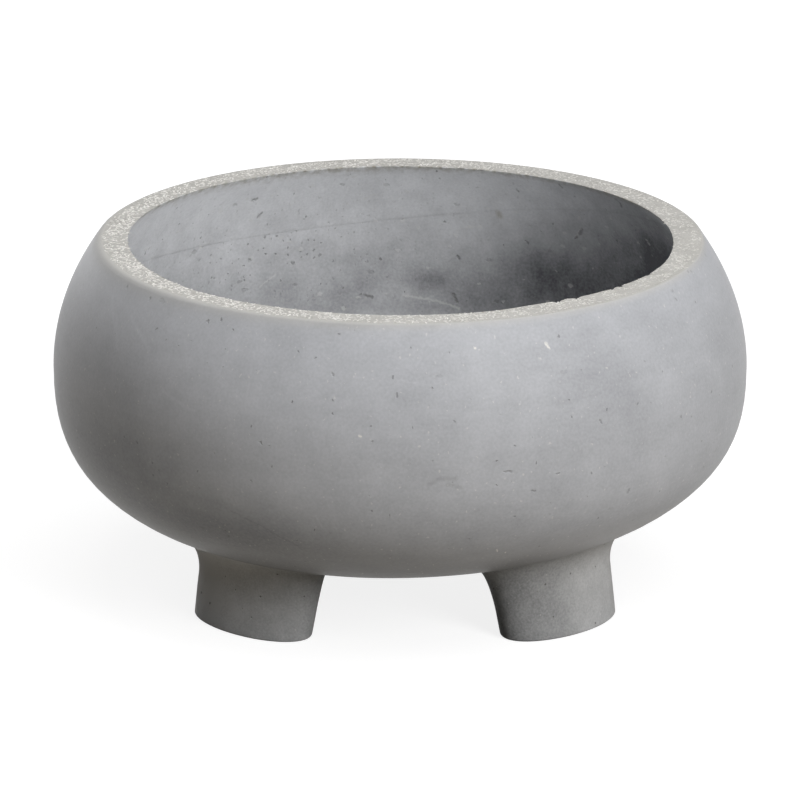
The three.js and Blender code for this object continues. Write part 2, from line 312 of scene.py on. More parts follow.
def unrolled(tree, place):
    """A place on the bowl laid out flat. On the wall it is how far round at the belly and how high, and
    on the floor, where that would draw everything out into rays, it is the place as seen from above."""
    part = add(tree, "ShaderNodeSeparateXYZ", {0: place}).outputs
    bearing = number_of(tree, "ARCTAN2", part["Y"], part["X"])
    along = number_of(tree, "MULTIPLY", bearing, BOWL_RADIUS)
    on_wall = add(tree, "ShaderNodeCombineXYZ", {0: along, 1: part["Z"]}).outputs[0]
    from_above = vector_of(tree, "MULTIPLY", place, (1, 1, 0))
    wall = number_of(tree, "GREATER_THAN", vector_of(tree, "LENGTH", from_above), WALL_FROM)
    laid = {"Factor": wall, 4: from_above, 5: on_wall}
    return add(tree, "ShaderNodeMix", laid, data_type="VECTOR").outputs[1]


def ragged(tree, flat, seed):
    """An unrolled place pushed about a little, so that what is drawn over it has a broken outline."""
    push = {"Vector": flat, "Scale": 1 / (2.5 * MM), "Detail": 3.0, "W": seed}
    push = add(tree, "ShaderNodeTexNoise", push, noise_dimensions="4D").outputs["Color"]
    centred = vector_of(tree, "SUBTRACT", push, (0.5, 0.5, 0.5))
    return vector_of(tree, "MULTIPLY_ADD", centred, (4 * MM, 4 * MM, 0), flat)


def strokes(tree, flat, marks):
    """1 on straight marks over an unrolled place, fading to 0 at their half-width. Each goes from one
    (bearing, height in mm) to another."""

    def on_wall(bearing, height):
        return Vector((math.radians(bearing) * BOWL_RADIUS, height * MM, 0))

    total = 0
    for start, end, half in marks:
        first, last = on_wall(*start), on_wall(*end)
        along = last - first
        reach = vector_of(tree, "SUBTRACT", flat, first)
        share = vector_of(tree, "DOT_PRODUCT", reach, along / max(along.length_squared, MM * MM))
        share = number_of(tree, "ADD", share, 0, use_clamp=True)
        near = add(tree, "ShaderNodeVectorMath", {0: along, "Scale": share}, operation="SCALE").outputs[0]
        mark = ramp(tree, vector_of(tree, "DISTANCE", reach, near), 0.2 * half * MM, half * MM, 1, 0)
        total = number_of(tree, "MAXIMUM", total, mark)
    return total


def spots(tree, place, spacing, radius, share, seed, stretch=(1, 1, 1), turn=(0, 0, 0), across="3D"):
    """1 on spots up to that radius, in that share of places about a spacing apart, and 0 between them."""
    laid = {"Vector": place, "Location": (seed, -seed, 0.6 * seed), "Rotation": turn, "Scale": stretch}
    laid = add(tree, "ShaderNodeMapping", laid).outputs[0]
    cells = {"Vector": laid, "Scale": 1 / spacing}
    cells = add(tree, "ShaderNodeTexVoronoi", cells, voronoi_dimensions=across).outputs
    chance = add(tree, "ShaderNodeSeparateColor", {"Color": cells["Color"]}).outputs[0]
    edge = ramp(tree, chance, 1 - share, 1, 0, radius / spacing)
    inside = number_of(tree, "SUBTRACT", edge, cells["Distance"])
    return number_of(tree, "MULTIPLY", inside, 3 * spacing / radius, use_clamp=True)


def tinted(tree, colour, hex_colour, share):
    """A colour turned towards another by a share from 0 to 1."""
    mix = add(tree, "ShaderNodeMix", {"Factor": share}, data_type="RGBA")
    for socket, value in ((mix.inputs[6], colour), (mix.inputs[7], linear(hex_colour))):
        if isinstance(value, bpy.types.NodeSocket):
            tree.links.new(value, socket)
        else:
            socket.default_value = value
    return mix.outputs[2]


def between(tree, dark, light, value):
    """A colour between two, by a value from 0 to 1."""
    return tinted(tree, linear(dark), light, number_of(tree, "ADD", value, 0, use_clamp=True))


def surfaced(tree, colour, roughness, height, **shader):
    """The finished surface, with relief from a height in metres."""
    relief = add(tree, "ShaderNodeBump", {"Height": height, "Strength": 1, "Distance": 1}).outputs[0]
    sockets = {"Base Color": colour, "Roughness": roughness, "Normal": relief}
    sockets.update({name.replace("_", " "): value for name, value in shader.items()})
    skin = add(tree, "ShaderNodeBsdfPrincipled", sockets)
    add(tree, "ShaderNodeOutputMaterial", {"Surface": skin.outputs[0]})


GROUND = "#B8B6B1"  # concrete that is rubbed or ground through its skin

# Marks from handling: from (bearing, height in mm) to another, with the half-width in mm
NICKS = (
    ((-73.9, 139.9), (-73.1, 139.3), 1.2),
    ((-69.3, 124.7), (-68.7, 125.1), 1.0),
    ((-65.1, 134.3), (-64.7, 134.7), 1.0),
    ((-50.6, 111.2), (-50.3, 113.2), 1.1),
    ((-56.9, 164.4), (-56.7, 162.6), 1.1),
    ((-26.1, 116), (-25.8, 116.6), 1.0),
    ((-113.4, 155.4), (-113.3, 155.1), 1.2),
    ((-133.4, 123.7), (-133.2, 123.2), 1.2),
    ((-102.1, 200.7), (-102, 200.3), 1.2),
    ((-91.3, 190.5), (-91.4, 189), 1.0),
    ((-21.2, 226.7), (-21.1, 226.4), 1.4),
    ((-31.2, 223.9), (-31.1, 223.6), 1.4),
    ((-31.6, 218.9), (-31.5, 217.9), 1.1),
    ((-151.2, 224.5), (-151.1, 224.2), 1.4),
    ((-127.6, 220.6), (-127.3, 220.3), 1.2),
    ((-142.9, 223.7), (-142.8, 223.4), 1.2),
)
SCRATCHES = (
    ((-119.5, 106.5), (-114, 98), 0.9),
    ((-114, 98), (-108.5, 85.5), 0.9),
    ((-86.2, 134), (-84.6, 137.4), 2.2),
    ((-84.6, 137.4), (-82, 137.6), 2.2),
    ((-83.4, 134), (-81, 131.5), 1.8),
)
CHIPS = (
    ((-64.8, 214), (-64.2, 211), 1.1),
    ((-77.8, 215.4), (-77.6, 215), 0.9),
    ((-97.3, 165), (-97, 164.2), 1.1),
    ((-121.2, 89.2), (-121.1, 89), 0.7),
    ((-73.5, 82), (-73.4, 81), 0.8),
    ((-71.8, 79), (-71.7, 78.8), 0.7),
)
RUBS = (
    ((-104.5, 111), (-103.5, 103), 0.8),
    ((-102, 107.6), (-101.2, 102), 0.8),
    ((-91, 198.7), (-87.2, 196.3), 0.8),
    ((-154, 216), (-147, 196), 2.0),
    ((-150, 208), (-146, 190), 1.6),
    ((-146, 212), (-138, 197), 1.8),
    ((-133, 176), (-126, 168), 1.4),
)


# Fibre-reinforced concrete straight off a polished mould. The cement paste lies on the mould, so the
# skin is close and faintly satin, with clouds where it dried unevenly, air holes, scuffs and nicks. A warm
# tint low down is painted bounce light from the floor, and its tone holds painted light and shade. The
# grain of the paste is drawn some ten times too coarse, so that it shows.
def concrete_off_the_mould():
    material, tree, place = new_material("concrete_off_the_mould")
    worn, tone = measured(tree, "edge_wear", "tone")
    flat = ragged(tree, unrolled(tree, place), 1.0)
    clouds = patches(tree, place, 90 * MM, 1.7)
    mottle = patches(tree, place, 22 * MM, 4.1, detail=5.0)
    wiped = patches(tree, place, 7 * MM, 2.3, stretch=(0.12, 0.12, 1))
    scuffed = patches(tree, flat, 6 * MM, 5.9, stretch=(0.22, 1, 1), turn=(0, 0, 0.9))
    grain = patches(tree, place, 1.8 * MM, 3.3, detail=4.0)
    rubbed = strokes(tree, flat, RUBS)
    value = weighted(
        tree, 0.555, (clouds, 0.054), (mottle, 0.041), (wiped, 0.013), (scuffed, 0.017), (grain, 0.046),
        (rubbed, 0.05), (tone, 0.83))
    colour = between(tree, "#4E4F53", "#CED0D5", value)
    above_ground = add(tree, "ShaderNodeSeparateXYZ", {0: place}).outputs["Z"]
    # Painted warm bounce light from the floor, low down
    colour = tinted(tree, colour, "#8C8066", ramp(tree, above_ground, 55 * MM, 95 * MM, 0.2, 0))
    colour = tinted(tree, colour, GROUND, worn)
    specks = spots(tree, flat, 6 * MM, 0.75 * MM, 0.5, 1.1, across="2D")
    chips = strokes(tree, flat, CHIPS)
    colour = tinted(tree, colour, "#DAD8D3", weighted(tree, 0, (specks, 0.35), (chips, 0.85)))
    holes = spots(tree, flat, 13 * MM, 0.9 * MM, 0.4, 6.6, across="2D")
    drags = spots(
        tree, flat, 30 * MM, 1.5 * MM, 0.5, 3.9, stretch=(0.4, 1, 1), turn=(0, 0, 0.5), across="2D")
    nicks = strokes(tree, flat, NICKS)
    scratches = strokes(tree, flat, SCRATCHES)
    dark = weighted(tree, 0, (holes, 0.34), (drags, 0.1), (nicks, 0.27), (scratches, 0.16))
    colour = tinted(tree, colour, "#504F4B", dark)
    height = weighted(
        tree, 0, (grain, 0.006 * MM), (mottle, 0.04 * MM), (holes, -0.3 * MM), (drags, -0.1 * MM),
        (nicks, -0.3 * MM))
    roughness = weighted(tree, 0.5, (clouds, 0.04), (mottle, 0.03), (worn, 0.3))
    surfaced(tree, colour, roughness, height, Specular_IOR_Level=0.2)
    return material


# Gouges and scrapes of the trowel, written as the marks on the outside are
GOUGES = (
    ((51.7, 190.5), (52.6, 186.5), 1.8),
    ((53.3, 184), (53.9, 182), 1.2),
    ((79.4, 131.5), (78.5, 126), 1.6),
    ((53, 225), (52.8, 223.5), 1.4),
    ((35.8, 223), (36.4, 219.5), 1.8),
    ((80.8, 183.5), (80.7, 183.2), 1.5),
    ((64.9, 174), (64.5, 172.5), 1.2),
    ((78.5, 158.4), (78.2, 156.8), 1.3),
    ((118.5, 162), (118.4, 161.5), 1.7),
    ((109.8, 156), (109.6, 155.6), 1.4),
    ((118, 194.5), (117.4, 196.5), 1.3),
    ((95.8, 129.5), (94.6, 128.5), 1.8),
    ((64.5, 214.6), (64.3, 213.8), 1.3),
    ((120.6, 208.5), (119.4, 209.8), 1.4),
)
SCRAPES = (
    ((76.8, 180), (73.7, 181.6), 1.2),
    ((88.7, 129.4), (83.7, 127.2), 1.1),
    ((83.7, 127.2), (78, 122), 1.1),
    ((116, 142), (113, 149), 1.0),
    ((52.4, 190), (53.6, 184), 0.8),
    ((96.5, 202), (94.4, 205), 1.1),
    ((128, 206), (127.6, 204), 2.4),
)


# The same concrete laid by hand against the back of the shell and trowelled, then left rough: duller,
# with pinholes and short drag marks, damp-looking blotches and the line where one lay stopped, with a
# thin painted shadow above it. Its tone also holds painted light under the rim and painted shade over the
# right of the wall. Its grain is drawn coarse too.
def concrete_laid_by_hand():
    material, tree, place = new_material("concrete_laid_by_hand")
    worn, tone, pitted, above_seam = measured(tree, "edge_wear", "tone", "pitted", "above_seam")
    flat = ragged(tree, unrolled(tree, place), 2.0)
    clouds = patches(tree, place, 60 * MM, 8.2, detail=4.0)
    mottle = patches(tree, place, 16 * MM, 2.9, detail=6.0)
    grain = patches(tree, place, 1.8 * MM, 7.4, detail=4.0)
    crumbs = patches(tree, place, 4 * MM, 6.3, detail=4.0)
    step = ramp(tree, above_seam, -0.6 * MM, 0.6 * MM)
    # Painted shadow in a thin band just above the seam's step
    painted_seam_shadow = number_of(tree, "MULTIPLY", ramp(tree, above_seam, 0, 2.2 * MM, 1, 0), step)
    value = weighted(tree, 0.47, (clouds, 0.06), (mottle, 0.07), (grain, 0.055), (painted_seam_shadow, -0.065), (tone, 1))
    colour = between(tree, "#56575A", "#E2E3E5", value)
    crumbled = number_of(tree, "MULTIPLY", worn, weighted(tree, 0.7, (crumbs, 0.5)))
    colour = tinted(tree, colour, "#989489", crumbled)
    pale = spots(tree, flat, 9 * MM, 1.6 * MM, 0.4, 2.2, stretch=(0.6, 1, 1), turn=(0, 0, 0.8), across="2D")
    scraped = strokes(tree, flat, SCRAPES)
    colour = tinted(tree, colour, "#CFCFCC", weighted(tree, 0, (pale, 0.32), (scraped, 0.35)))
    stain = strokes(tree, flat, (((69.8, 193.5), (69.6, 191.5), 3.6),))
    colour = tinted(tree, colour, "#85795F", weighted(tree, 0, (stain, 0.35)))
    pins = spots(tree, flat, 5 * MM, 1.1 * MM, 0.5, 5.3, across="2D")
    pins = number_of(tree, "MULTIPLY", pins, pitted)
    holes = spots(tree, flat, 15 * MM, 1.1 * MM, 0.5, 1.3, across="2D")
    drags = spots(
        tree, flat, 14 * MM, 1.7 * MM, 0.5, 9.7, stretch=(0.5, 1, 1), turn=(0, 0, 0.6), across="2D")
    gouged = strokes(tree, flat, GOUGES)
    dark = weighted(tree, 0, (pins, 0.45), (holes, 0.4), (drags, 0.2), (gouged, 0.44))
    colour = tinted(tree, colour, "#4F4E4A", dark)
    height = weighted(
        tree, 0, (grain, 0.02 * MM), (mottle, 0.16 * MM), (pins, -0.3 * MM), (holes, -0.4 * MM),
        (drags, -0.3 * MM), (pale, 0.1 * MM), (gouged, -0.5 * MM), (step, 0.2 * MM), (crumbled, -0.6 * MM))
    roughness = weighted(tree, 0.74, (clouds, 0.05))
    surfaced(tree, colour, roughness, height, Specular_IOR_Level=0.3)
    return material


# The rim is ground flat once the shell is hard. That opens the paste, so it is matt, sandy and paler,
# a warm grey with fine sand and cut strands in it.
def concrete_ground_flat():
    material, tree, place = new_material("concrete_ground_flat")
    clouds = patches(tree, place, 18 * MM, 6.1)
    sand = patches(tree, place, 1.2 * MM, 1.9, detail=2.0)
    value = weighted(tree, 0.45, (clouds, 0.12), (sand, 0.24))
    colour = between(tree, "#9C9A95", "#CAC8C4", value)
    pores = spots(tree, place, 3.4 * MM, 0.55 * MM, 0.4, 4.4)
    colour = tinted(tree, colour, "#7B7871", weighted(tree, 0, (pores, 0.5)))
    height = weighted(tree, 0, (sand, 0.05 * MM), (pores, -0.2 * MM))
    surfaced(tree, colour, 0.9, height)
    return material


# Chopped glass strands cut through by the grinding. Each is a flat bundle of hair-fine threads, which
# look white where the bundle is broken open.
def chopped_glass_strand():
    material, tree, place = new_material("chopped_glass_strand")
    shade = patches(tree, place, 2.5 * MM, 3.7, detail=1.0)
    threads = patches(tree, place, 0.4 * MM, 5.1, detail=1.0)
    colour = between(tree, "#C5C3BE", "#F2F0EC", weighted(tree, 0.6, (shade, 0.4)))
    side = add(tree, "ShaderNodeSeparateXYZ", {0: place}).outputs["X"]
    colour = tinted(tree, colour, "#BFBDB8", ramp(tree, side, -120 * MM, 120 * MM, 0, 0.55))
    surfaced(tree, colour, 0.55, weighted(tree, 0, (threads, 0.02 * MM)))
    return material


# The legs are cast solid in small moulds from the same mix. Their skin is a little more open, with an
# even grain, drawn coarse so that it shows, and a few air holes.
def concrete_cast_solid(name, seed):
    material, tree, place = new_material(name)
    tone = measured(tree, "tone")[0]
    clouds = patches(tree, place, 32 * MM, seed)
    mottle = patches(tree, place, 9 * MM, seed + 2.2)
    grain = patches(tree, place, 1.4 * MM, seed + 4.3)
    # The tone kept at a leg's points is painted light and shade
    value = weighted(tree, 0.74, (clouds, 0.06), (mottle, 0.06), (grain, 0.1), (tone, 1))
    colour = between(tree, "#5E5F60", "#C6C6C6", value)
    specks = spots(tree, place, 4 * MM, 0.8 * MM, 0.4, seed + 1.3)
    colour = tinted(tree, colour, "#CDCBC8", weighted(tree, 0, (specks, 0.5)))
    holes = spots(tree, place, 5.5 * MM, 1.2 * MM, 0.3, seed + 3.1)
    colour = tinted(tree, colour, "#55544F", weighted(tree, 0, (holes, 0.6)))
    height = weighted(tree, 0, (grain, 0.02 * MM), (mottle, 0.08 * MM), (holes, -0.35 * MM))
    surfaced(tree, colour, weighted(tree, 0.82, (clouds, 0.04)), height, Specular_IOR_Level=0.25)
    return material


# Bright drawn mild steel bar: a smooth grey metal with fine lines along its length.
def drawn_steel_bar():
    material, tree, place = new_material("drawn_steel_bar")
    lines = patches(tree, place, 0.5 * MM, 2.0, stretch=(1, 1, 0.02))
    tarnish = patches(tree, place, 6 * MM, 4.0)
    colour = between(tree, "#A9ABAE", "#C6C8CA", weighted(tree, 0.5, (lines, 0.3), (tarnish, 0.2)))
    roughness = weighted(tree, 0.34, (lines, 0.06), (tarnish, 0.04))
    surfaced(tree, colour, roughness, weighted(tree, 0, (lines, 0.004 * MM)), Metallic=1)
    return material


# Moulded rubber: near black, matt from the blasted mould, with a greyish bloom and cement dust on it.
def moulded_rubber():
    material, tree, place = new_material("moulded_rubber")
    bloom = patches(tree, place, 9 * MM, 3.1)
    stipple = patches(tree, place, 0.7 * MM, 6.2)
    dust = spots(tree, place, 3 * MM, 0.5 * MM, 0.35, 2.7)
    colour = between(tree, "#202122", "#3A3B3B", weighted(tree, 0.45, (bloom, 0.3), (stipple, 0.15)))
    colour = tinted(tree, colour, "#8F8D88", weighted(tree, 0, (dust, 0.35)))
    roughness = weighted(tree, 0.62, (bloom, 0.08), (dust, 0.15))
    surfaced(tree, colour, roughness, weighted(tree, 0, (stipple, 0.02 * MM)))
    return material


SKIN = concrete_off_the_mould()
INSIDE = concrete_laid_by_hand()
RIM = concrete_ground_flat()
STRAND = chopped_glass_strand()
LEG = concrete_cast_solid("concrete_cast_solid", 2.6)
MORTAR = concrete_cast_solid("mortar_struck_smooth", 2.6)
STEEL = drawn_steel_bar()
RUBBER = moulded_rubber()

# ---------------------------------------------------------------- the bowl

COLUMNS = 840
BEARING = np.arange(COLUMNS) * 360 / COLUMNS
AROUND = np.radians(BEARING)

# The mouth isn't a true circle: (bearing, how far out, how wide in degrees)
MOUTH_WAVES = ((-25, 2.2, 14), (-60, -2.5, 8), (-136, 2.0, 12))

# Where the rim's outer edge is rubbed most, and its inner one: (bearing, how wide in degrees)
WORN_OUTSIDE, WORN_INSIDE = (195, 62), (115, 45)

# Chips out of the mouth's edge: (bearing, size in mm, how wide in degrees)
MOUTH_CHIPS = ((-56.5, 1.6, 0.7), (-51.7, 1.2, 0.5), (-41.9, 1.0, 0.6), (-39, 1.3, 0.5), (-28.8, 1.1, 0.6))

# Paler and darker places, partly blotches in the concrete and partly painted light and shade: (bearing,
# height in mm, degrees wide, mm high, how much)
OUTSIDE_BLOTCHES_AND_PAINTED_LIGHT = (
    # Painted shade darkens the lower left flank, where there are dark blotches too; painted light lightens
    # the upper left and the underside by the front right leg
    (-146, 122, 17, 26, -0.27),
    (-124, 88, 22, 18, -0.28),
    (-98, 68, 20, 12, -0.12),
    (-148, 210, 24, 24, 0.24),
    (-108, 182, 30, 40, 0.11),
    (-84, 136, 5, 4, -0.03),
    (-62, 185, 26, 40, -0.04),
    (-47, 60, 15, 15, 0.34),
)
INSIDE_BLOTCHES_AND_PAINTED_LIGHT = (
    (94, 157, 4, 11, -0.04),
    (90, 150, 2.5, 14, 0.06),
    (90, 148, 5, 16, -0.05),
    (83, 141, 5, 11, -0.16),
    (61, 152, 10, 18, -0.22),
    (72, 132, 8, 10, -0.08),
    (89, 127, 9, 4, 0.12),
    (128, 170, 7, 8, 0.08),
    (107, 176, 9, 4, 0.05),
    # Painted shade over the right of the inner wall, which faces away from the light
    (25, 190, 26, 70, -0.74),
    (58, 120, 26, 40, -0.14),
)

# Painted light on the inner wall by height, palest under the rim: (height in mm, how much)
INSIDE_PAINTED_LIGHT = (
    (60, 0.26), (100, 0.22), (122, -0.10), (140, -0.04), (165, 0.08), (190, 0.26), (212, 0.44), (230, 0.53))

# Painted shade on the outside by height, darkest underneath: (height in mm, how much)
OUTSIDE_PAINTED_SHADE = (
    (31, -0.62), (48, -0.58), (54, -0.46), (62, -0.24), (72, -0.07), (110, 0), (190, 0.02), (220, 0.04))

# Where one lay of the inside stopped, its edge climbs from left to right: z = a + b x + c x x, in metres
SEAM = (185.1 * MM, 0.1105, 0.493)


def towards(bearing, wide):
    """1 at the columns at a bearing, falling smoothly to nearly 0 past a width in degrees to each side."""
    return bump_at((BEARING - bearing + 180) % 360 - 180, 0, wide)


def tones(places, height):
    total = np.zeros(np.broadcast_shapes(height.shape, BEARING.shape))
    for bearing, middle, wide, high, amount in places:
        total += amount * towards(bearing, wide) * bump_at(height / MM, middle, high)
    return total


def rounded(start, corner, end, count):
    """Rows of (radius, height) from a start to an end round a corner, with neither end's own row."""
    shares = np.linspace(0, 1, count + 2)[1:-1, None]

    def bent(a, b, c):
        return a * (1 - shares) ** 2 + 2 * b * shares * (1 - shares) + c * shares**2

    return [bent(*ends) for ends in zip(start, corner, end)]


def stretch(curve, start, end, count):
    """Rows of (radius, height) along a curve between two angles, which may differ from bearing to
    bearing."""
    shares = np.linspace(0, 1, count)[:, None]
    r, z, _, _ = curve(start * (1 - shares) + end * shares)
    return [r * np.ones(COLUMNS), z * np.ones(COLUMNS)]


def bowl_profile():
    """Rows of radius and height, up the outside from the drain hole, over the rim and down the inside, with
    the finish of the strip above each row: 0 off the mould, 1 ground and 2 laid by hand."""
    ones = np.ones(COLUMNS)
    circle = np.stack([np.cos(AROUND), np.sin(AROUND), 0 * AROUND], -1)
    uneven = fractal(circle * 0.19, 9 * MM, 3)
    crumbly = fractal(circle * 0.17, 4 * MM, 5)
    left = towards(*WORN_OUTSIDE)
    back = towards(95, 70)
    outer_wear = (0.9 + 2.6 * left + 0.25 * uneven) * MM
    broken = (0.2 + 0.7 * back) * uneven + (0.15 + 1.1 * back) * crumbly
    inner_wear = np.maximum(0.35, 0.8 + 1.3 * back + broken) * MM
    face = RIM_HEIGHT - RIM_GRIND

    def corner_of(curve):
        return curve(angle_where(curve, 1, face))[0]

    outer_top = angle_where(upper_skin, 1, face - 0.75 * outer_wear)
    inner_top = angle_where(upper_wall, 1, face - inner_wear)
    rows = [stretch(lower_skin, angle_where(lower_skin, 0, DRAIN_BOTTOM_RADIUS) * ones, 0 * ones, 30)]
    rows.append(stretch(upper_skin, 0.02 * ones, outer_top, 24))
    skin_end = [part[-1] for part in rows[-1]]
    flat_start = [corner_of(upper_skin) - outer_wear, face * ones]
    rows.append(rounded(skin_end, [corner_of(upper_skin) * ones, face * ones], flat_start, 5))
    wall = stretch(upper_wall, inner_top, 0 * ones, 24)
    flat_end = [corner_of(upper_wall) + inner_wear, face * ones]
    shares = np.linspace(0, 1, 7)[:, None]
    rows.append([a * (1 - shares) + b * shares for a, b in zip(flat_start, flat_end)])
    inner_corner = [corner_of(upper_wall) * ones, face * ones]
    rows.append(rounded(flat_end, inner_corner, [part[0] for part in wall], 4))
    rows.append(wall)
    rows.append(stretch(lower_wall, 0.02 * ones, angle_where(lower_wall, 0, DRAIN_TOP_RADIUS) * ones, 24))
    counts = [len(part[0]) for part in rows]
    finish = np.repeat([0, 0, 0, 1, 2, 2, 2], counts)
    finish[sum(counts[:4]) - 1] = 2
    return np.concatenate([part[0] for part in rows]), np.concatenate([part[1] for part in rows]), finish


def outward_of(grid):
    """The way out of each point of a grid that is closed both ways."""
    up = np.roll(grid, -1, 0) - np.roll(grid, 1, 0)
    along = np.roll(grid, -1, 1) - np.roll(grid, 1, 1)
    out = np.cross(along, up)
    return out / np.linalg.norm(out, axis=-1, keepdims=True)


def bowl_shell():
    r, z, finish = bowl_profile()
    row_finish = finish[:, None]
    face = RIM_HEIGHT - RIM_GRIND
    inner = row_finish == 2
    near_mouth = np.exp(-((face - z) / MOUTH_WAVE_DEPTH))
    for bearing, far, wide in MOUTH_WAVES:
        r = r + inner * near_mouth * far * MM * towards(bearing, wide)
    for bearing, size, wide in MOUTH_CHIPS:
        chip = size * MM * towards(bearing, wide) * np.exp(-(((face - z) / CHIP_DEPTH) ** 2))
        r = r + inner * chip
        z = z - inner * 0.5 * chip
    grid = np.stack([r * np.cos(AROUND), r * np.sin(AROUND), z], -1)
    outer = (row_finish == 0) & (z < face - 1 * MM)
    outside_skin = row_finish == 0
    grid[..., 2] += np.where(outside_skin, lean(grid[..., 0], z), 0)
    out = outward_of(grid)
    slow = fractal(grid, 60 * MM, 1) - 1
    rough = fractal(grid, 15 * MM, 2)
    sunk = np.where(outer, SKIN_WAVE * slow, 0) + np.where(inner, WALL_WAVE * slow + WALL_DENTS * rough, 0)
    grid += out * sunk[..., None]
    grid[..., 2] += np.where(row_finish == 1, RIM_ROUGHNESS * (rough - 1), 0)
    below_rim = np.maximum((face - z) / MM, 0)
    wear_out = 0.85 * np.exp(-below_rim / (1.0 + 2.5 * towards(*WORN_OUTSIDE)))
    wear_in = 0.9 * np.exp(-((below_rim / (2.6 + 2.4 * towards(*WORN_INSIDE))) ** 2))
    wear = np.where(outside_skin, wear_out, wear_in)
    # The tone kept at the points holds painted light and shade on both faces, as well as blotches
    outside_tone = tones(OUTSIDE_BLOTCHES_AND_PAINTED_LIGHT, z) + np.interp(z / MM, *np.transpose(OUTSIDE_PAINTED_SHADE))
    inside_tone = tones(INSIDE_BLOTCHES_AND_PAINTED_LIGHT, z) + np.interp(z / MM, *np.transpose(INSIDE_PAINTED_LIGHT))
    tone = np.where(outside_skin, outside_tone, inside_tone)
    pitted = 0.25 + 0.75 * towards(114, 16) * bump_at(z / MM, 165, 26)
    x = grid[..., 0]
    above_seam = grid[..., 2] - (SEAM[0] + SEAM[1] * x + SEAM[2] * x * x)
    faces = grid_faces(len(grid), COLUMNS, True)
    piece = smooth_piece(
        "planter_bowl", grid.reshape(-1, 3), faces, [SKIN, RIM, INSIDE], np.repeat(finish, COLUMNS),
        edge_wear=wear, tone=tone, pitted=pitted, above_seam=above_seam)
    finish_piece(piece, "bowl", "concrete", "bowl_shell")
    first = int(np.argmax(finish == 1))
    last = len(finish) - int(np.argmax(finish[::-1] == 1))
    return grid[first : last + 1]


# ---------------------------------------------------------------- strands in the rim


def strand_tree():
    """Scatters flat strands over a face, lying every way and partly sunk in it."""
    tree = bpy.data.node_groups.new("chopped strands", "GeometryNodeTree")
    sockets = {
        "Geometry": ("Face",),
        "Float": ("Strands per square metre", "Length", "Width", "Thickness", "Tilt"),
        "Int": ("Seed",),
        "Material": ("Finish",),
    }
    for kind, names in sockets.items():
        for name in names:
            tree.interface.new_socket(name, in_out="INPUT", socket_type=f"NodeSocket{kind}")
    tree.interface.new_socket("Strands", in_out="OUTPUT", socket_type="NodeSocketGeometry")
    given = add(tree, "NodeGroupInput").outputs
    share = {"Name": "strand_share"}
    share = add(tree, "GeometryNodeInputNamedAttribute", share, data_type="FLOAT").outputs[0]
    density = number_of(tree, "MULTIPLY", share, given["Strands per square metre"])
    points = add(
        tree, "GeometryNodeDistributePointsOnFaces",
        {"Mesh": given["Face"], "Density": density, "Seed": given["Seed"]})
    size = add(tree, "ShaderNodeCombineXYZ", {0: given["Length"], 1: given["Width"], 2: given["Thickness"]})
    sliver = add(tree, "GeometryNodeMeshCube", {"Size": size.outputs[0]})
    low = number_of(tree, "MULTIPLY", given["Tilt"], -1)
    least = add(tree, "ShaderNodeCombineXYZ", {0: low, 1: low, 2: 0})
    most = add(tree, "ShaderNodeCombineXYZ", {0: given["Tilt"], 1: given["Tilt"], 2: 2 * math.pi})
    turn = {0: least.outputs[0], 1: most.outputs[0], "Seed": given["Seed"]}
    turn = add(tree, "FunctionNodeRandomValue", turn, data_type="FLOAT_VECTOR")
    sizes = {0: (0.45, 0.6, 0.8), 1: (1.3, 1.3, 1.2), "Seed": 11}
    sizes = add(tree, "FunctionNodeRandomValue", sizes, data_type="FLOAT_VECTOR")
    strands = add(
        tree, "GeometryNodeInstanceOnPoints",
        {"Points": points.outputs["Points"], "Instance": sliver.outputs["Mesh"],
         "Rotation": turn.outputs[0], "Scale": sizes.outputs[0]})
    real = add(tree, "GeometryNodeRealizeInstances", {0: strands.outputs[0]})
    finished = {"Geometry": real.outputs[0], "Material": given["Finish"]}
    finished = add(tree, "GeometryNodeSetMaterial", finished)
    add(tree, "NodeGroupOutput", {0: finished.outputs[0]})
    return tree


def strands_in_rim(face_rows):
    """The strands cut through by grinding: thick on the left, and in streaks with bare places on the
    right. They are drawn at the coarse end of what is real, because finer ones don't show."""
    rows, columns = face_rows.shape[:2]
    points = face_rows.reshape(-1, 3)
    across = np.linspace(0, 1, rows)[:, None] * np.ones(columns)
    streaks = fractal(face_rows, 14 * MM, 7) + 0.6 * fractal(face_rows, 5 * MM, 8)
    bareness = 0.15 + 0.85 * towards(-20, 75)
    share = np.clip(0.95 - bareness * (0.55 - 0.75 * streaks), 0.04, 1)
    share = share * np.clip((across - 0.07) / 0.08, 0, 1) * np.clip((0.99 - across) / 0.05, 0.3, 1)
    guide = smooth_piece("rim face", points, grid_faces(rows, columns, False), [], strand_share=share)
    scatter = guide.modifiers.new("strands", "NODES")
    scatter.node_group = strand_tree()
    sizes = {
        "Strands per square metre": 210000.0,
        "Length": 2.6 * MM,
        "Width": 0.75 * MM,
        "Thickness": 0.3 * MM,
        "Tilt": math.radians(7),
        "Seed": 4,
        "Finish": STRAND,
    }
    for socket in scatter.node_group.interface.items_tree:
        if socket.name in sizes:
            scatter[socket.identifier] = sizes[socket.name]
    ready = guide.evaluated_get(bpy.context.evaluated_depsgraph_get())
    mesh = bpy.data.meshes.new_from_object(ready)
    guide.modifiers.clear()
    bpy.data.objects.remove(guide)
    mesh.name = "strands_in_rim"
    piece = bpy.data.objects.new("strands_in_rim", mesh)
    bpy.context.scene.collection.objects.link(piece)
    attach(piece, "bowl")


# ---------------------------------------------------------------- legs and mortar

LEG_COLUMNS = 144
ROUND_LEG = np.arange(LEG_COLUMNS) * 2 * math.pi / LEG_COLUMNS


def leg_middle(height):
    """How far from the bowl's axis the middle of a leg is, which leans in as it rises."""
    return FOOT_CIRCLE_RADIUS - math.tan(LEG_SPLAY) * height


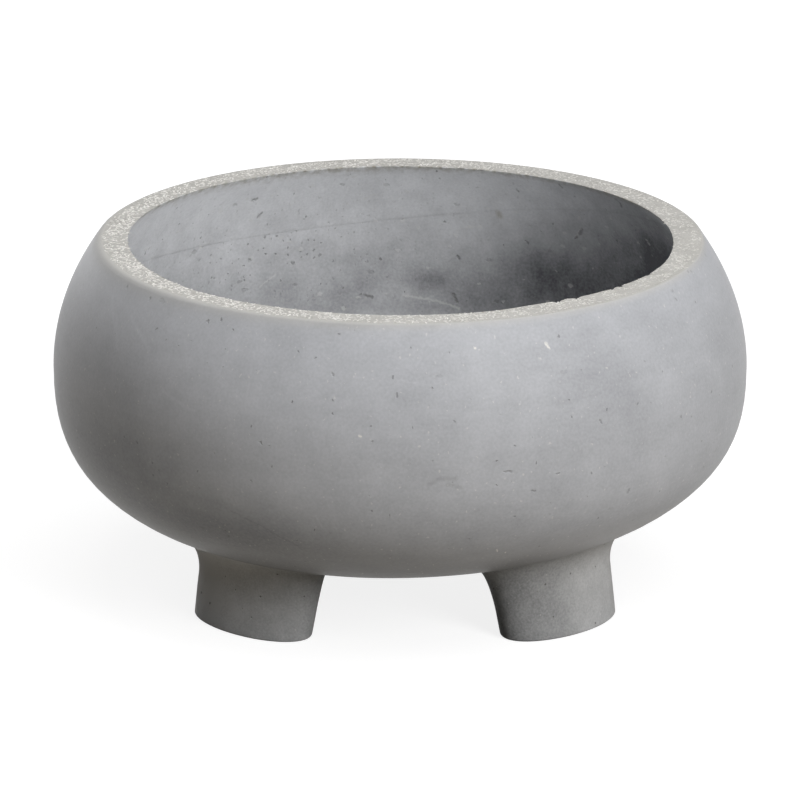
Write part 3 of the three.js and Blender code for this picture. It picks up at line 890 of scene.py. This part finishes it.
def leg_point(angle, height, outset):
    """A point of the face of a leg that stands to the +X side, pushed out by a distance."""
    half_width = FOOT_WIDTH / 2 + LEG_FLARE * height
    half_length = FOOT_LENGTH / 2 + LEG_FLARE * height
    out_x, out_y = np.cos(angle) / half_width, np.sin(angle) / half_length
    length = np.hypot(out_x, out_y)
    x = leg_middle(height) + half_width * np.cos(angle) + outset * out_x / length
    y = half_length * np.sin(angle) + outset * out_y / length
    return x, y, height * np.ones_like(angle)


def placed(point, bearing):
    """A point of the +X leg, turned to a bearing and shifted with the legs."""
    x, y, z = point
    cos, sin = math.cos(math.radians(bearing)), math.sin(math.radians(bearing))
    return np.stack([x * cos - y * sin + LEG_SHIFT, x * sin + y * cos, z], -1)


def seat_height(angle, outset, bearing):
    """Where the leg's face, pushed out by a distance, meets the bowl."""
    height = np.full_like(angle, CLEARANCE)
    for _ in range(12):
        p = placed(leg_point(angle, height, outset), bearing)
        height = underside(p[:, 0], p[:, 1])
    return height


def shrunk(ring, share):
    middle = ring.mean(0)
    return middle + (ring - middle) * share


def cast_piece(piece_name, points, faces, material, name, bearing):
    """A leg or its mortar, with its face sunk a little in slow waves and its painted light and shade kept
    at its points.
    """
    height = points[:, 2]
    middle = placed((leg_middle(height), 0 * height, height), bearing)
    side = (points - middle) * (1, 1, 0)
    side /= np.maximum(np.linalg.norm(side, axis=1, keepdims=True), 1e-6)
    # Painted light and shade, paler or darker all round and towards +X
    all_round, towards_x = LEG_PAINTED_LIGHT[name]
    points = points + side * (LEG_WAVE * (fractal(points, 28 * MM, 11) - 1))[:, None]
    return smooth_piece(piece_name, points, faces, [material], tone=all_round + towards_x * side[:, 0])


def leg(name, bearing):
    """A leg from its foot up to the bed of mortar, with the edge of its foot eased."""
    seat = seat_height(ROUND_LEG, 0, bearing) - MORTAR_BED
    sole = placed(leg_point(ROUND_LEG, 0, -FOOT_EDGE), bearing)
    rings = [shrunk(sole, share) for share in (0.3, 0.6, 0.9, 0.98, 1)]
    for turn in np.linspace(0, math.pi / 2, 7)[1:]:
        inset, height = FOOT_EDGE * (1 - math.sin(turn)), FOOT_EDGE * (1 - math.cos(turn))
        rings.append(placed(leg_point(ROUND_LEG, height, -inset), bearing))
    for share in np.linspace(0, 1, 27)[1:]:
        rings.append(placed(leg_point(ROUND_LEG, FOOT_EDGE + (seat - FOOT_EDGE) * share, 0), bearing))
    top = rings[-1]
    for share in (0.97, 0.7, 0.35):
        ring = shrunk(top, share)
        ring[:, 2] = underside(ring[:, 0], ring[:, 1]) - MORTAR_BED
        rings.append(ring)
    points, faces = skinned(rings)
    piece = cast_piece(f"planter_leg_{name}", points, faces, LEG, name, bearing)
    finish_piece(piece, "bowl", "concrete", f"leg_{name}")


def round_the_leg(outer, right, inner, left):
    """Four values round a leg, run smoothly into each other."""
    opposite = (outer - inner) / 2 * np.cos(ROUND_LEG) + (right - left) / 2 * np.sin(ROUND_LEG)
    crossed = (outer + inner - right - left) / 4 * np.cos(2 * ROUND_LEG)
    return (outer + right + inner + left) / 4 + opposite + crossed


def mortar(name, bearing):
    """The bed over a leg and the hollow fillet struck round it, run out to a feather on leg and bowl."""
    reach = round_the_leg(*FILLET_REACH[name]) * MM
    tall = round_the_leg(*FILLET_HEIGHT[name]) * MM
    top = placed(leg_point(ROUND_LEG, seat_height(ROUND_LEG, 0, bearing), -0.5 * MM), bearing)
    bed = [shrunk(top, share) for share in (0.35, 0.7, 1)]
    for ring in bed:
        ring[:, 2] = underside(ring[:, 0], ring[:, 1]) - MORTAR_BED + 0.3 * MM
    fillet = []
    for turn in np.linspace(0, math.pi / 2, 13):
        outset = FEATHER + reach * (1 - math.cos(turn))
        drop = tall * (1 - math.sin(turn)) - 0.15 * MM * math.sin(turn)
        height = seat_height(ROUND_LEG, outset, bearing)
        for _ in range(4):
            p = placed(leg_point(ROUND_LEG, height - drop, outset), bearing)
            height = underside(p[:, 0], p[:, 1])
        p[:, 2] = height - drop
        fillet.append(p)
    skirt_height = fillet[0][:, 2] - 3 * MM
    skirt = placed(leg_point(ROUND_LEG, skirt_height, -0.1 * MM), bearing)
    foot = placed(leg_point(ROUND_LEG, skirt_height + 0.3 * MM, -0.5 * MM), bearing)
    cover = [shrunk(fillet[-1], share) for share in (0.9, 0.6, 0.3)]
    for ring in cover:
        ring[:, 2] = underside(ring[:, 0], ring[:, 1]) + 0.15 * MM
    points, faces = skinned([*bed, foot, skirt, *fillet, *cover])
    piece = cast_piece(f"planter_mortar_{name}", points, faces, MORTAR, name, bearing)
    finish_piece(piece, "bowl", "mortar", f"mortar_{name}")


# ---------------------------------------------------------------- the drain plug


def drain_plug():
    """A stopper turned from the outline that it was drawn with, with its edges eased."""
    low, high = PLUG_LOW.z, PLUG_HIGH.z
    knob_low = high - KNOB_HEIGHT
    flange_top = knob_low - NECK_LENGTH
    flange_low = flange_top - FLANGE_THICKNESS

    def stem(height, proud):
        hole = DRAIN_BOTTOM_RADIUS + (DRAIN_TOP_RADIUS - DRAIN_BOTTOM_RADIUS) * (height - CLEARANCE) / FLOOR
        return hole - STEM_CLEARANCE + proud, height

    outline = [(3 * MM, low), (stem(low, 0)[0] - 0.8 * MM, low), (stem(low, 0)[0], low + 0.8 * MM)]
    for rib in range(RIB_COUNT):
        crest = low + (flange_low - low) * (rib + 0.5) / RIB_COUNT
        for share in np.linspace(-1, 1, 9):
            proud = RIB_STANDS_OUT * math.cos(share * math.pi / 2) ** 1.3
            outline.append(stem(crest + RIB_HALF_HEIGHT * share, proud))
    outline.append(stem(flange_low - 0.5 * MM, 0))
    outline.append((stem(flange_low, 0)[0] + 0.5 * MM, flange_low))
    edge = FLANGE_THICKNESS / 2
    for turn in np.linspace(-math.pi / 2, math.pi / 2, 13):
        r = PLUG_FLANGE_RADIUS - edge + edge * math.cos(turn)
        outline.append((r, flange_low + edge + edge * math.sin(turn)))
    outline += [(NECK_RADIUS + 0.8 * MM, flange_top), (NECK_RADIUS, flange_top + 0.7 * MM)]
    outline += [(NECK_RADIUS, knob_low - 0.6 * MM), (NECK_RADIUS + 0.5 * MM, knob_low)]
    outline += [(KNOB_RADIUS - 0.8 * MM, knob_low), (KNOB_RADIUS, knob_low + 0.7 * MM)]
    dome = KNOB_HEIGHT / 2
    for turn in np.linspace(0, math.pi / 2, 10)[:-1]:
        outline.append((KNOB_RADIUS * math.cos(turn), high - dome + dome * math.sin(turn)))
    around = np.arange(72) * 2 * math.pi / 72
    rings = [np.stack([r * np.cos(around), r * np.sin(around), 0 * around + z], -1) for r, z in outline]
    points, faces = skinned(rings)
    points[-1][2] = high
    piece = smooth_piece("rubber_drain_plug", points, faces, [RUBBER])
    finish_piece(piece, "drain_plug", "plug_rubber", "drain_plug")


# ---------------------------------------------------------------- putting it together

strands_in_rim(bowl_shell())
for leg_name, leg_bearing in LEG_BEARINGS.items():
    leg(leg_name, leg_bearing)
    mortar(leg_name, leg_bearing)
drain_plug()
for node_name, node in frame["nodes"].items():
    if node_name.startswith("dowel"):
        node.data.materials.clear()
        node.data.materials.append(STEEL)

# ---------------------------------------------------------------- camera

# The photograph is taken from far off with a long lens, a little to the left of the middle of two legs.
CAMERA_BEARING = math.radians(-0.8)
CAMERA_ELEVATION = math.radians(16.87)
CAMERA_DISTANCE = 20 * BOWL_RADIUS
CAMERA_LENS = 311.8
CAMERA_ROLL = math.radians(0.15)
AIM_BELOW_BELLY = 26.4 * MM


def way_out(bearing, elevation):
    """The way from the bowl at a bearing, counted from the front, and an elevation."""
    across = math.cos(elevation)
    return Vector((math.sin(bearing) * across, -math.cos(bearing) * across, math.sin(elevation)))


def camera():
    data = bpy.data.cameras.new("camera")
    data.lens = CAMERA_LENS
    data.sensor_width = 36
    data.clip_end = 100
    eye = bpy.data.objects.new("camera", data)
    middle = Vector((0, 0, BELLY_HEIGHT))
    eye.location = middle + way_out(CAMERA_BEARING, CAMERA_ELEVATION) * CAMERA_DISTANCE
    look = middle - Vector((0, 0, AIM_BELOW_BELLY)) - eye.location
    eye.rotation_mode = "QUATERNION"
    eye.rotation_quaternion = look.to_track_quat("-Z", "Y") @ Quaternion((0, 0, 1), CAMERA_ROLL)
    bpy.context.scene.collection.objects.link(eye)
    bpy.context.scene.camera = eye


camera()

# ---------------------------------------------------------------- floor and lights

# Name, bearing counted as the camera's is, elevation, distance, width, height and power
LIGHTS = (
    ("key", 38, 25, 2.4, 1, 1, 33),
    ("high_right", 45, 50, 2.4, 1, 1, 14.5),
    ("overhead", 0, 89, 2.2, 1.6, 1.6, 21),
    ("high_left", -45, 50, 2.4, 1, 1, 7.5),
    ("behind_left", -150, 25, 2.4, 1, 1, 10),
    ("low_behind_left", -150, 8, 2.4, 0.8, 0.5, 6),
    ("low_right", 90, 8, 2.4, 0.8, 0.5, 2),
)
WORLD_STRENGTH = 0.01


def softbox(name, bearing, elevation, distance, width, height, power):
    """A square of soft light that faces the bowl."""
    data = bpy.data.lights.new(name, "AREA")
    data.shape = "RECTANGLE"
    data.size, data.size_y, data.energy = width, height, power
    lamp = bpy.data.objects.new(name, data)
    back = way_out(math.radians(bearing), math.radians(elevation))
    lamp.location = Vector((0, 0, BELLY_HEIGHT)) + back * distance
    lamp.rotation_euler = (-back).to_track_quat("-Z", "Y").to_euler()
    bpy.context.scene.collection.objects.link(lamp)


for light in LIGHTS:
    softbox(*light)


def shown_or_lighting(tree, shown, lighting):
    """One shader for what the camera, a gloss or a clear piece sees, and another for the light it
    gives off."""
    path = add(tree, "ShaderNodeLightPath").outputs
    seen = path["Is Camera Ray"]
    for ray in ("Is Glossy Ray", "Is Transmission Ray"):
        seen = number_of(tree, "MAXIMUM", seen, path[ray])
    sides = {0: seen, 1: lighting.outputs[0], 2: shown.outputs[0]}
    return add(tree, "ShaderNodeMixShader", sides).outputs[0]


def world(strength):
    """White to look at, with little light of its own."""
    made = bpy.data.worlds.new("studio")
    made.use_nodes = True
    tree = made.node_tree
    tree.nodes.clear()
    white = add(tree, "ShaderNodeBackground", {"Color": (1, 1, 1, 1), "Strength": 1})
    lit = add(tree, "ShaderNodeBackground", {"Color": (1, 1, 1, 1), "Strength": strength})
    add(tree, "ShaderNodeOutputWorld", {"Surface": shown_or_lighting(tree, white, lit)})
    bpy.context.scene.world = made


world(WORLD_STRENGTH)


def floor():
    """White to look at except in the planter's shadow. It glows more further out, where the lamps don't
    reach. What it throws back up is a studio floor's warm grey, with painted shade under the planter."""
    size = 6
    mesh = bpy.data.meshes.new("floor")
    square = [(-size, -size, 0), (size, -size, 0), (size, size, 0), (-size, size, 0)]
    mesh.from_pydata(square, [], [(0, 1, 2, 3)])
    ground = bpy.data.objects.new("floor", mesh)
    ground.location.z = -0.0002
    bpy.context.scene.collection.objects.link(ground)
    material, tree, place = new_material("floor")
    away = vector_of(tree, "LENGTH", place)
    glow = add(tree, "ShaderNodeEmission", {"Strength": ramp(tree, away, 0.6, 1.4, 0.85, 1)})
    shaded = add(tree, "ShaderNodeBsdfDiffuse", {"Color": (0.3, 0.3, 0.3, 1)})
    white = add(tree, "ShaderNodeAddShader", {0: glow.outputs[0], 1: shaded.outputs[0]})
    # Painted shade under the planter in the light the floor throws back
    bounce = between(tree, "#454340", "#ABA395", ramp(tree, away, 0.12, 0.36))
    lit = add(tree, "ShaderNodeBsdfDiffuse", {"Color": bounce})
    add(tree, "ShaderNodeOutputMaterial", {"Surface": shown_or_lighting(tree, white, lit)})
    mesh.materials.append(material)


floor()
bpy.context.scene.view_settings.view_transform = "Standard"
